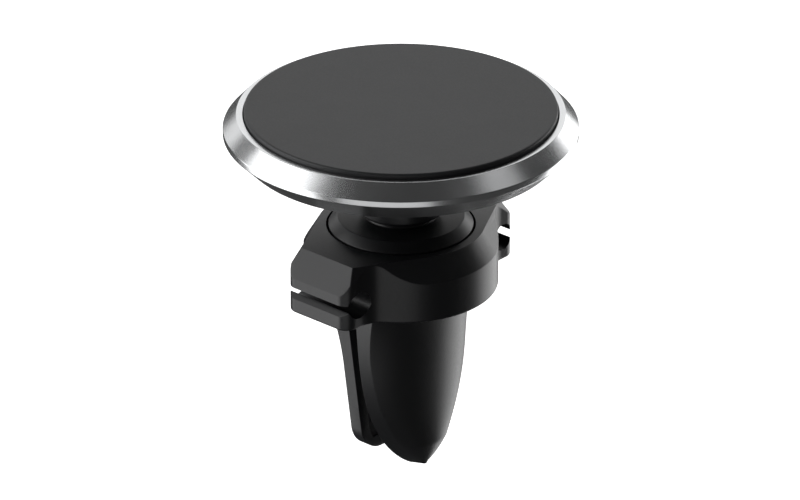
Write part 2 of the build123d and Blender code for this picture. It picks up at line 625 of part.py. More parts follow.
# ======================================================================= jaws
jaw_shapes = (
    ("long_jaw", LONG_SIDE, long_half_width, LONG_JAW_L, LONG_DRAFT),
    ("short_jaw", SHORT_SIDE, short_half_width, SHORT_JAW_L, SHORT_DRAFT),
)
for name, side, half_width, length, draft in jaw_shapes:
    # The core: a stiff tongue inside the boot, a thick root and a barrel round the pin.
    with BuildPart() as core:
        with BuildSketch(jaw_plane(side, CORE_DEPTH)):
            with BuildLine():
                tongue_line(half_width, length, JAW_LAND)
            make_face()
        extrude(amount=CORE_T)
        with BuildSketch(Plane.XY.offset(-ROOT_DEPTH)):
            with Locations((0, side * PIVOT_Y)):
                Rectangle(BARREL_L, 2 * BARREL_R)
        extrude(amount=ROOT_DEPTH + PIVOT_Z)
        with BuildSketch(Plane.XY.offset(-ROOT_DEPTH)):
            with Locations((0, side * (core_y + PIVOT_Y) / 2)):
                Rectangle(BARREL_L, PIVOT_Y - core_y)
        extrude(amount=ROOT_DEPTH)
        with BuildSketch(Plane.YZ.offset(-BARREL_L / 2)):
            with Locations((side * PIVOT_Y, PIVOT_Z)):
                Circle(BARREL_R)
        extrude(amount=BARREL_L)
        with BuildSketch(Plane.YZ.offset(-BARREL_L / 2)):
            with Locations((side * PIVOT_Y, PIVOT_Z)):
                Circle(PIN_R + RUN_GAP)
        extrude(amount=BARREL_L, mode=Mode.SUBTRACT)
        with BuildSketch(Plane.XY.offset(FLOOR_T)):
            with Locations((0, side * PIVOT_Y)):
                Rectangle(BARREL_NOTCH, 2 * BARREL_R)
        extrude(amount=PIVOT_Z + BARREL_R - FLOOR_T, mode=Mode.SUBTRACT)
    core.part.label = name + "_core"
    export_step(core.part, "parts/" + name + "_core.step")

    with BuildPart() as pad:
        with BuildSketch(jaw_plane(side, PAD_RECESS)):
            with BuildLine():
                tongue_line(half_width, length, JAW_LAND + PAD_INSET)
            make_face()
        extrude(amount=CORE_DEPTH - PAD_RECESS)
    pad.part.label = name + "_pad"
    export_step(pad.part, "parts/" + name + "_pad.step")

    # The boot: a soft moulding round the core, with a recess for the pad in its inner face.
    with BuildPart() as boot:
        for i in range(JAW_SECTIONS + 1):
            depth = length * (1 - (1 - i / JAW_SECTIONS) ** 2)
            inner_w = max(half_width(depth), JAW_TIP_W / 2)
            outer_w = max(inner_w - draft * depth / length, JAW_TIP_EDGE)
            bulge = bulge_at(depth, length, outer_w)
            with BuildSketch(Plane.XY.offset(-depth)):
                with BuildLine():
                    section_line(side, inner_w, outer_w, jaw_in_y, jaw_in_y + edge_at(depth), bulge, depth)
                make_face()
        loft(ruled=True)
        with BuildSketch(Plane.XY):
            with BuildLine():
                section_line(side, root_half_w, root_half_w, jaw_in_y, jaw_edge_y, root_bulge)
            make_face()
        extrude(amount=boot_top_z)
        with BuildSketch(jaw_plane(side, 0)):
            with BuildLine():
                tongue_line(half_width, length, JAW_LAND)
            make_face()
        extrude(amount=CORE_DEPTH, mode=Mode.SUBTRACT)
        add(core.part, mode=Mode.SUBTRACT)
    boot.part.label = name + "_boot"
    export_step(boot.part, "parts/" + name + "_boot.step")
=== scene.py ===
"""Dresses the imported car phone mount: a magnetic head on a ball joint over a vent clip."""
import logging
import sys
from dataclasses import dataclass
from enum import Enum
from math import asin, cos, pi, radians, sin, sqrt
from typing import Callable, Optional, Sequence

import bmesh
import bpy
import numpy as np
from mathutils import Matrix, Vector


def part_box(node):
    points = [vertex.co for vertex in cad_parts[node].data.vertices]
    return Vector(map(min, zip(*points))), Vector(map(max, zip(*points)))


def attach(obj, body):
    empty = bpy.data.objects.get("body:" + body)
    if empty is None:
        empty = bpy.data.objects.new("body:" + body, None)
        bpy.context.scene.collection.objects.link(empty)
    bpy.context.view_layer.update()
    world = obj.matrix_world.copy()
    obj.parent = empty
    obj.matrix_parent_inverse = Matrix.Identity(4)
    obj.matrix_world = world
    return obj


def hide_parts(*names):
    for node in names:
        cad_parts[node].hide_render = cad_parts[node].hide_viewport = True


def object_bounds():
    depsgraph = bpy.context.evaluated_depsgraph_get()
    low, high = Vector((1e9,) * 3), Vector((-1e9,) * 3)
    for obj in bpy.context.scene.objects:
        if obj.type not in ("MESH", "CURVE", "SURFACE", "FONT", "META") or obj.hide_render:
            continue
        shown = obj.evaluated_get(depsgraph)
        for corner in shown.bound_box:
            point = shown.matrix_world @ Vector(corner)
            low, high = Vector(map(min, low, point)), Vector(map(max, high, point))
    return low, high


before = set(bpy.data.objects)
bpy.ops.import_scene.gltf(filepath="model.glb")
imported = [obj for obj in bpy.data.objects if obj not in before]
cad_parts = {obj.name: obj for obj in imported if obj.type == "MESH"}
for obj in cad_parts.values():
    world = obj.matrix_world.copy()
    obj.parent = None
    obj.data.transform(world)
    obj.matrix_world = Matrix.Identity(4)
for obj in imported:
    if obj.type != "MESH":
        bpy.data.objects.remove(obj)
cad_low, cad_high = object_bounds()

LOG = logging.getLogger("phone_mount")
MM = 0.001
WELD = 2e-6            # metres: points of a new mesh closer than this become one
COPY_WELD = 1e-7       # the same for a copied CAD mesh
SLIVER = 1e-6          # metres: faces thinner than this are dissolved
STRAIGHT = 0.01        # radians: corners flatter than this are left alone
BEVEL_SEGMENTS = 3
RIB_SIDES = 14
GRAIN_HEIGHT = 0.0001  # metres between the top and the bottom of the surface grain
NOISE_LOW = 0.3        # the part of a noise's range that carries its contrast
NOISE_HIGH = 0.7

Point2 = tuple[float, float]
Point3 = tuple[float, float, float]


# ---- node tree helpers
class Tree:
    """A small helper that adds and links the nodes of one tree."""

    def __init__(self, tree: bpy.types.NodeTree) -> None:
        """Keeps the tree to add to.

        Args:
            tree: the shader, world or geometry tree.
        """
        self.tree = tree

    def add(self, kind: str, links: Optional[dict] = None, **settings: object) -> bpy.types.Node:
        """Adds a node.

        Args:
            kind: the node's type name.
            links: input name or number to a value or to an output socket.
            **settings: the node's own properties.

        Returns:
            The new node.
        """
        node = self.tree.nodes.new(kind)
        for name, value in settings.items():
            setattr(node, name, value)
        for key, value in (links or {}).items():
            if isinstance(value, bpy.types.NodeSocket):
                self.tree.links.new(value, node.inputs[key])
            else:
                node.inputs[key].default_value = value
        return node

    def math(self, operation: str, first: object, second: object = 0.0) -> bpy.types.NodeSocket:
        """Adds a Math node.

        Args:
            operation: the node's operation.
            first: its first value or socket.
            second: its second value or socket.

        Returns:
            The node's output.
        """
        return self.add("ShaderNodeMath", {0: first, 1: second}, operation=operation).outputs[0]


def new_material(name: str) -> tuple[bpy.types.Material, Tree, bpy.types.Node]:
    """Makes an empty node material with a Principled shader.

    Args:
        name: the material's name.

    Returns:
        The material, its tree helper and the shader node.
    """
    material = bpy.data.materials.new(name)
    material.use_nodes = True
    material.node_tree.nodes.clear()
    tree = Tree(material.node_tree)
    shader = tree.add("ShaderNodeBsdfPrincipled")
    tree.add("ShaderNodeOutputMaterial", {"Surface": shader.outputs[0]})
    return material, tree, shader


def object_coordinates(tree: Tree) -> bpy.types.NodeSocket:
    """Adds a Texture Coordinate node.

    Args:
        tree: the material's tree.

    Returns:
        The node's Object output.
    """
    return tree.add("ShaderNodeTexCoord").outputs["Object"]


def roughness_from(tree: Tree, noise: bpy.types.Node, middle: float, spread: float) -> bpy.types.NodeSocket:
    """Turns a noise into a roughness that varies about a middle value.

    Args:
        tree: the material's tree.
        noise: the noise texture node.
        middle: the roughness where the noise is at its middle.
        spread: how far the roughness goes above and below it.

    Returns:
        The roughness.
    """
    values = {
        "Value": noise.outputs["Fac"],
        "From Min": NOISE_LOW,
        "From Max": NOISE_HIGH,
        "To Min": middle - spread,
        "To Max": middle + spread,
    }
    return tree.add("ShaderNodeMapRange", values).outputs["Result"]


def tint_from(
    tree: Tree, noise: bpy.types.Node, colour: Point3, shades: Point2, stops: Point2 = (0.0, 1.0)
) -> bpy.types.NodeSocket:
    """Turns a noise into a colour between a darker and a lighter shade.

    Args:
        tree: the material's tree.
        noise: the noise texture node.
        colour: the middle colour.
        shades: what the colour is multiplied by at either end.
        stops: the noise values where the two ends are reached.

    Returns:
        The colour.
    """
    ramp = tree.add("ShaderNodeValToRGB", {"Fac": noise.outputs["Fac"]})
    for element, shade, stop in zip(ramp.color_ramp.elements, shades, stops):
        element.position = stop
        element.color = (*[min(channel * shade, 1.0) for channel in colour], 1.0)
    return ramp.outputs["Color"]


def dress_shader(
    tree: Tree,
    shader: bpy.types.Node,
    tint: bpy.types.NodeSocket,
    rough: bpy.types.NodeSocket,
    height: bpy.types.NodeSocket,
    depth: float,
) -> None:
    """Links a tint, a roughness and a fine bump to a shader.

    Args:
        tree: the material's tree.
        shader: the Principled shader.
        tint: the base colour.
        rough: the roughness.
        height: the surface's grain.
        depth: the bump's strength.
    """
    bump = tree.add("ShaderNodeBump", {"Strength": depth, "Distance": GRAIN_HEIGHT, "Height": height})
    links = tree.tree.links
    links.new(tint, shader.inputs["Base Color"])
    links.new(rough, shader.inputs["Roughness"])
    links.new(bump.outputs["Normal"], shader.inputs["Normal"])


# ---- finishes
@dataclass(frozen=True)
class MouldedPlastic:
    """Spark-eroded plastic or rubber: a fine grain with faint mottling.

    Attributes:
        name: the material's name.
        colour: its middle colour.
        roughness: its middle roughness.
        grain: scale of the fine grain.
        depth: strength of the grain's bump.
        mottling: scale of the mottling.
        spread: how far the roughness varies.
        shades: darkest and lightest share of the colour.
        stops: noise values where those two are reached.
    """

    name: str
    colour: Point3
    roughness: float
    grain: float = 5200.0
    depth: float = 0.05
    mottling: float = 140.0
    spread: float = 0.035
    shades: Point2 = (0.9, 1.12)
    stops: Point2 = (0.3, 0.75)

    def build(self) -> bpy.types.Material:
        """Builds the material.

        Returns:
            The new material.
        """
        material, tree, shader = new_material(self.name)
        place = object_coordinates(tree)
        grain = tree.add("ShaderNodeTexNoise", {"Vector": place, "Scale": self.grain, "Detail": 3.0})
        cloud = tree.add("ShaderNodeTexNoise", {"Vector": place, "Scale": self.mottling, "Detail": 4.0})
        tint = tint_from(tree, cloud, self.colour, self.shades, self.stops)
        rough = roughness_from(tree, grain, self.roughness, self.spread)
        dress_shader(tree, shader, tint, rough, grain.outputs["Fac"], self.depth)
        return material


@dataclass(frozen=True)
class TurnedMetal:
    """Metal with fine rings left by turning about the part's upright axis.

    Attributes:
        name: the material's name.
        colour: its middle colour.
        roughness: its middle roughness.
        rings: scale of the turned rings.
        depth: strength of the rings' bump.
        mottling: scale of the mottling.
        spread: how far the roughness varies.
        shades: darkest and lightest share of the colour.
    """

    name: str
    colour: Point3
    roughness: float
    rings: float = 9000.0
    depth: float = 0.06
    mottling: float = 260.0
    spread: float = 0.03
    shades: Point2 = (0.93, 1.05)

    def build(self) -> bpy.types.Material:
        """Builds the material.

        Returns:
            The new material.
        """
        material, tree, shader = new_material(self.name)
        place = object_coordinates(tree)
        parts = tree.add("ShaderNodeSeparateXYZ", {"Vector": place})
        across, along, up = (parts.outputs[axis] for axis in "XYZ")
        square = tree.math(
            "ADD", tree.math("MULTIPLY", across, across), tree.math("MULTIPLY", along, along)
        )
        groove = tree.add("ShaderNodeCombineXYZ", {"X": tree.math("SQRT", square), "Y": up})
        lines = tree.add(
            "ShaderNodeTexNoise",
            {"Vector": groove.outputs[0], "Scale": self.rings, "Detail": 2.0},
        )
        cloud = tree.add("ShaderNodeTexNoise", {"Vector": place, "Scale": self.mottling, "Detail": 5.0})
        tint = tint_from(tree, lines, self.colour, self.shades)
        rough = roughness_from(tree, cloud, self.roughness, self.spread)
        dress_shader(tree, shader, tint, rough, lines.outputs["Fac"], self.depth)
        shader.inputs["Metallic"].default_value = 1.0
        return material


class Finish(Enum):
    """The finishes of the mount, each with the record's slot that it belongs to."""

    SOFT_FACE = "soft_black"
    TAPE = "adhesive"
    ALUMINIUM = "satin_aluminium"
    BODY_PLASTIC = "black_plastic"
    CORE_PLASTIC = "core_plastic"
    LINER = "liner_plastic"
    NICKEL = "nickel"
    ZINC = "zinc_steel"
    SPRING = "spring_steel"
    POLISHED = "polished_steel"
    JAW_RUBBER = "jaw_rubber"
    GRIP_RUBBER = "grip_rubber"


FINISHES: dict[Finish, MouldedPlastic | TurnedMetal] = {
    Finish.SOFT_FACE: MouldedPlastic("soft_touch_face", (0.026, 0.027, 0.029), 0.48, 6500.0, 0.03),
    Finish.TAPE: MouldedPlastic("clear_tape", (0.50, 0.50, 0.46), 0.45, 1500.0, 0.1),
    Finish.ALUMINIUM: TurnedMetal("satin_aluminium", (0.78, 0.79, 0.80), 0.24, depth=0.03),
    Finish.BODY_PLASTIC: MouldedPlastic("satin_black_plastic", (0.012, 0.0125, 0.014), 0.36),
    Finish.CORE_PLASTIC: MouldedPlastic("core_plastic", (0.022, 0.022, 0.024), 0.5, 2600.0, 0.12),
    Finish.LINER: MouldedPlastic("natural_acetal", (0.62, 0.62, 0.59), 0.4, 3000.0, 0.04),
    Finish.NICKEL: TurnedMetal("nickel_plate", (0.66, 0.64, 0.58), 0.18, 4000.0),
    Finish.ZINC: TurnedMetal("zinc_plate", (0.55, 0.57, 0.60), 0.34, 3000.0),
    Finish.SPRING: TurnedMetal("spring_steel", (0.36, 0.37, 0.39), 0.3, 5000.0),
    Finish.POLISHED: TurnedMetal("polished_steel", (0.62, 0.62, 0.64), 0.12, 6000.0, 0.02),
    Finish.JAW_RUBBER: MouldedPlastic("jaw_rubber", (0.014, 0.0145, 0.016), 0.40, 4200.0, 0.06),
    Finish.GRIP_RUBBER: MouldedPlastic("grip_rubber", (0.011, 0.011, 0.012), 0.62, 3600.0, 0.15),
}


class Wardrobe:
    """Builds each finish once and dresses pieces in it."""

    def __init__(self) -> None:
        """Starts with no material built."""
        self.built: dict[Finish, bpy.types.Material] = {}

    def material(self, finish: Finish) -> bpy.types.Material:
        """Gives a finish's material, built the first time it is asked for.

        Args:
            finish: the finish.

        Returns:
            Its material.
        """
        if finish not in self.built:
            self.built[finish] = FINISHES[finish].build()
        return self.built[finish]

    def dress(self, piece: bpy.types.Object, finish: Finish) -> None:
        """Gives a piece one finish, in every material slot.

        Args:
            piece: the piece to dress.
            finish: the finish to give it.
        """
        slots = piece.data.materials
        if len(slots) == 0:
            slots.append(self.material(finish))
        for i in range(len(slots)):
            slots[i] = self.material(finish)


# ---- mesh helpers
def link_mesh(name: str, mesh: bpy.types.Mesh) -> bpy.types.Object:
    """Makes an object of a mesh and links it to the scene.

    Args:
        name: the object's name.
        mesh: its mesh.

    Returns:
        The new object.
    """
    piece = bpy.data.objects.new(name, mesh)
    bpy.context.scene.collection.objects.link(piece)
    return piece


def from_rings(name: str, rings: Sequence[Sequence[Sequence[float]]], closed: bool) -> bpy.types.Object:
    """Skins a row of rings that have the same number of points.

    Args:
        name: the new object's name.
        rings: each ring's points, in millimetres.
        closed: True joins the last ring to the first, False caps both ends.

    Returns:
        The new object, with its faces pointing outwards.
    """
    count = len(rings[0])
    shell = bmesh.new()
    rows = [[shell.verts.new([c * MM for c in point]) for point in ring] for ring in rings]
    pairs = list(zip(rows, rows[1:] + rows[:1])) if closed else list(zip(rows, rows[1:]))
    for low, high in pairs:
        for i in range(count):
            j = (i + 1) % count
            shell.faces.new((low[i], low[j], high[j], high[i]))
    if not closed:
        shell.faces.new(rows[0])
        shell.faces.new(rows[-1])
    bmesh.ops.remove_doubles(shell, verts=shell.verts, dist=WELD)
    bmesh.ops.dissolve_degenerate(shell, edges=shell.edges, dist=SLIVER)
    bmesh.ops.recalc_face_normals(shell, faces=shell.faces)
    mesh = bpy.data.meshes.new(name)
    shell.to_mesh(mesh)
    shell.free()
    mesh.shade_smooth()
    return link_mesh(name, mesh)


def rounded(points: Sequence[Point2], radii: Sequence[float], steps: int = 5) -> list[Point2]:
    """Rounds the corners of a closed outline.

    Args:
        points: the outline's corners.
        radii: each corner's radius; 0 leaves it sharp.
        steps: pieces in each arc.

    Returns:
        The outline with an arc in place of each rounded corner.
    """
    result: list[Point2] = []
    for i, (corner, radius) in enumerate(zip(points, radii)):
        here = Vector(corner)
        back = Vector(points[i - 1]) - here
        ahead = Vector(points[(i + 1) % len(points)]) - here
        angle = back.angle(ahead)
        if radius <= 0 or angle > pi - STRAIGHT:
            result.append(corner)
            continue
        reach = min(radius / sqrt((1 - cos(angle)) / (1 + cos(angle))), back.length / 2, ahead.length / 2)
        start = here + back.normalized() * reach
        end = here + ahead.normalized() * reach
        for k in range(steps + 1):
            t = k / steps
            result.append(tuple((1 - t) ** 2 * start + 2 * t * (1 - t) * here + t**2 * end))
    return result


def lathe(name: str, outline: Sequence[Point2], steps: int = 256) -> bpy.types.Object:
    """Turns a closed outline about the upright axis.

    Args:
        name: the new object's name.
        outline: its (radius, height) points, in millimetres.
        steps: sides of the turned rings.

    Returns:
        The new object.
    """
    rings = []
    for i in range(steps):
        turn = 2 * pi * i / steps
        rings.append([(r * cos(turn), r * sin(turn), z) for r, z in outline])
    return from_rings(name, rings, closed=True)


def finish_normals(piece: bpy.types.Object, bevel: float = 0.0, angle: float = 35.0) -> None:
    """Rounds a piece's sharp edges and shades it by face area.

    Args:
        piece: the piece to finish.
        bevel: width of the rounding in millimetres; 0 adds none.
        angle: edges that turn by more than this many degrees are rounded.
    """
    if bevel > 0:
        edge = piece.modifiers.new("edge_rounding", "BEVEL")
        edge.width = bevel * MM
        edge.segments = BEVEL_SEGMENTS
        edge.limit_method = "ANGLE"
        edge.angle_limit = radians(angle)
        edge.harden_normals = False
    weight = piece.modifiers.new("face_weighting", "WEIGHTED_NORMAL")
    weight.keep_sharp = True


def carried_over(node: str, name: str, sharp: float = 28.0) -> bpy.types.Object:
    """Copies a CAD node's mesh into a welded, smooth-shaded piece.

    Args:
        node: the CAD node to copy.
        name: the new piece's name.
        sharp: edges that turn by more than this many degrees stay crisp.

    Returns:
        The new piece.
    """
    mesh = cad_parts[node].data.copy()
    mesh.name = name
    welded = bmesh.new()
    welded.from_mesh(mesh)
    bmesh.ops.remove_doubles(welded, verts=welded.verts, dist=COPY_WELD)
    for face in welded.faces:
        face.smooth = True
    for edge in welded.edges:
        edge.smooth = not (edge.is_manifold and edge.calc_face_angle(0.0) > radians(sharp))
    welded.to_mesh(mesh)
    welded.free()
    piece = link_mesh(name, mesh)
    weight = piece.modifiers.new("face_weighting", "WEIGHTED_NORMAL")
    weight.keep_sharp = True
    return piece


def place(piece: bpy.types.Object, body: str, *nodes: str) -> None:
    """Rides a piece on a body, in place of the CAD nodes that it stands for.

    Args:
        piece: the piece.
        body: the body that it moves with.
        *nodes: the CAD nodes that it replaces.
    """
    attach(piece, body)
    if nodes:
        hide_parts(*nodes)
    LOG.info("%s rides on %s with %d faces", piece.name, body, len(piece.data.polygons))


def node_span(node: str) -> tuple[np.ndarray, np.ndarray]:
    """Measures a CAD node's box.

    Args:
        node: the node's name.

    Returns:
        Its lowest and highest corner, in millimetres.
    """
    low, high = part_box(node)
    return np.array(low) / MM, np.array(high) / MM


# ---- Geometry Nodes
class Pattern(Enum):
    """How a repeated piece is laid out."""

    RING = "ring"
    RECTANGLE = "rectangle"


def new_geometry_tree(name: str, inputs: dict[str, str]) -> tuple[bpy.types.NodeTree, Tree, dict]:
    """Makes an empty Geometry Nodes tree with named inputs.

    Args:
        name: the tree's name.
        inputs: input name to socket type.

    Returns:
        The tree, its helper and the group input's sockets by name.
    """
    group = bpy.data.node_groups.new(name, "GeometryNodeTree")
    for socket, kind in inputs.items():
        group.interface.new_socket(socket, in_out="INPUT", socket_type=kind)
    group.interface.new_socket("Geometry", in_out="OUTPUT", socket_type="NodeSocketGeometry")
    tree = Tree(group)
    source = tree.add("NodeGroupInput")
    return group, tree, {socket: source.outputs[socket] for socket in inputs}


def close_geometry_tree(tree: Tree, instances: bpy.types.NodeSocket, material: bpy.types.NodeSocket) -> None:
    """Ends a tree with Realize Instances and Set Material.

    Args:
        tree: the tree's helper.
        instances: the copies to make real.
        material: the material to give them.
    """
    real = tree.add("GeometryNodeRealizeInstances", {"Geometry": instances})
    painted = tree.add("GeometryNodeSetMaterial", {"Geometry": real.outputs[0], "Material": material})
    tree.add("NodeGroupOutput", {"Geometry": painted.outputs[0]})


def pattern_tree(pattern: Pattern) -> bpy.types.NodeTree:
    """Builds the tree that repeats its input round a ring or at a rectangle's corners.

    Args:
        pattern: how the copies are laid out.

    Returns:
        The new tree.
    """
    inputs = {
        "Geometry": "NodeSocketGeometry",
        "Count": "NodeSocketInt",
        "Width": "NodeSocketFloat",
        "Depth": "NodeSocketFloat",
        "Turn": "NodeSocketFloat",
        "Material": "NodeSocketMaterial",
    }
    group, tree, given = new_geometry_tree(f"repeat_in_a_{pattern.value}", inputs)
    if pattern is Pattern.RING:
        points = tree.add("GeometryNodeMeshCircle", {"Vertices": given["Count"], "Radius": given["Width"]})
    else:
        points = tree.add(
            "GeometryNodeMeshGrid",
            {"Size X": given["Width"], "Size Y": given["Depth"], "Vertices X": 2, "Vertices Y": 2},
        )
    turn = tree.add("ShaderNodeCombineXYZ", {"Z": given["Turn"]})
    turned = tree.add(
        "GeometryNodeTransform", {"Geometry": points.outputs["Mesh"], "Rotation": turn.outputs[0]}
    )
    copies = tree.add(
        "GeometryNodeInstanceOnPoints",
        {"Points": turned.outputs[0], "Instance": given["Geometry"]},
    )
    close_geometry_tree(tree, copies.outputs[0], given["Material"])
    return group


def rib_tree() -> bpy.types.NodeTree:
    """Builds the tree that lays a rounded rib on each point, as long as the point's reach.

    Returns:
        The new tree.
    """
    inputs = {
        "Geometry": "NodeSocketGeometry",
        "Rib Radius": "NodeSocketFloat",
        "Material": "NodeSocketMaterial",
    }
    group, tree, given = new_geometry_tree("grip_ribs", inputs)
    spine = tree.add("GeometryNodeCurvePrimitiveLine", {"Start": (-1, 0, 0), "End": (1, 0, 0)})
    section = tree.add(
        "GeometryNodeCurvePrimitiveCircle", {"Resolution": RIB_SIDES, "Radius": given["Rib Radius"]}
    )
    bar = tree.add(
        "GeometryNodeCurveToMesh",
        {"Curve": spine.outputs[0], "Profile Curve": section.outputs[0], "Fill Caps": True},
    )
    reach = tree.add("GeometryNodeInputNamedAttribute", {"Name": "reach"}, data_type="FLOAT")
    scale = tree.add("ShaderNodeCombineXYZ", {"X": reach.outputs["Attribute"], "Y": 1.0, "Z": 1.0})
    copies = tree.add(
        "GeometryNodeInstanceOnPoints",
        {"Points": given["Geometry"], "Instance": bar.outputs[0], "Scale": scale.outputs[0]},
    )
    close_geometry_tree(tree, copies.outputs[0], given["Material"])
    return group


def grow(piece: bpy.types.Object, group: bpy.types.NodeTree, values: dict[str, object]) -> None:
    """Runs a Geometry Nodes tree on a piece and keeps the result as its plain mesh.

    Args:
        piece: the piece whose mesh is the tree's input.
        group: the tree.
        values: input name to value.
    """
    modifier = piece.modifiers.new("grow", "NODES")
    modifier.node_group = group
    for item in group.interface.items_tree:
        if item.item_type == "SOCKET" and item.in_out == "INPUT" and item.name in values:
            modifier[item.identifier] = values[item.name]
    graph = bpy.context.evaluated_depsgraph_get()
    mesh = bpy.data.meshes.new_from_object(piece.evaluated_get(graph))
    piece.modifiers.clear()
    piece.data = mesh


# ---- screws
@dataclass
class Screws:
    """A group of equal small screws with a six-sided key hole, heads down.

    Attributes:
        name: the piece's name.
        node: the CAD node that it replaces.
        body: the body that it rides on.
        pattern: how the screws are laid out.
        count: how many there are.
        width: the ring's radius, or the rectangle's side along X.
        depth: the rectangle's side along Y.
        turn: the pattern's turn about the upright axis, in degrees.
    """

    name: str
    node: str
    body: str
    pattern: Pattern
    count: int
    width: float
    depth: float = 0.0
    turn: float = 0.0
    head_radius: float = 1.3
    head_height: float = 0.58
    rim_height: float = 0.203
    rim_steps: Point2 = (0.6, 0.15)
    rim_rise: float = 0.35
    shank_radius: float = 0.7
    tip_chamfer: float = 0.2
    key_radius: float = 0.62
    key_depth: float = 0.4
    key_chamfer: Point2 = (0.06, 0.05)
    key_sides: int = 6
    sides: int = 48

    def one_screw(self, low: float, high: float) -> bpy.types.Object:
        """Builds one screw.

        Args:
            low: height of the head's face, in millimetres.
            high: height of the shank's tip, in millimetres.

        Returns:
            The new screw.
        """
        rim, (inner, outer) = self.rim_height, self.rim_steps
        flare, sink = self.key_chamfer
        key, around = self.key_sides, self.sides
        outline = [
            (self.key_radius, low + self.key_depth, key),
            (self.key_radius, low + sink, key),
            (self.key_radius + flare, low, key),
            (self.head_radius - rim * inner, low, around),
            (self.head_radius - rim * outer, low + rim * self.rim_rise, around),
            (self.head_radius, low + rim, around),
            (self.head_radius, low + self.head_height, around),
            (self.shank_radius, low + self.head_height, around),
            (self.shank_radius, high - self.tip_chamfer, around),
            (self.shank_radius - self.tip_chamfer, high, around),
        ]
        rings = [[self.spot(radius, height, sides, i / around) for i in range(around)]
                 for radius, height, sides in outline]
        return from_rings(self.name, rings, closed=False)

    def spot(self, radius: float, height: float, sides: int, share: float) -> Point3:
        """Finds a point on a round or key-shaped ring.

        Args:
            radius: the ring's radius, out to the corners of a key.
            height: the ring's height.
            sides: the key's sides, or those of a round ring.
            share: how far round the ring, as a share of a full turn.

        Returns:
            The point.
        """
        turn = 2 * pi * share
        if sides == self.key_sides:
            half = pi / sides
            radius = radius * cos(half) / cos((turn + half) % (2 * half) - half)
        return (radius * cos(turn), radius * sin(turn), height)

    def build(self, wardrobe: Wardrobe) -> None:
        """Builds the group in place of its CAD node.

        Args:
            wardrobe: where its finish comes from.
        """
        low, high = node_span(self.node)
        screws = self.one_screw(low[2], high[2])
        grow(
            screws,
            pattern_tree(self.pattern),
            {
                "Count": self.count,
                "Width": self.width * MM,
                "Depth": self.depth * MM,
                "Turn": radians(self.turn),
                "Material": wardrobe.material(Finish.ZINC),
            },
        )
        finish_normals(screws)
        place(screws, self.body, self.node)


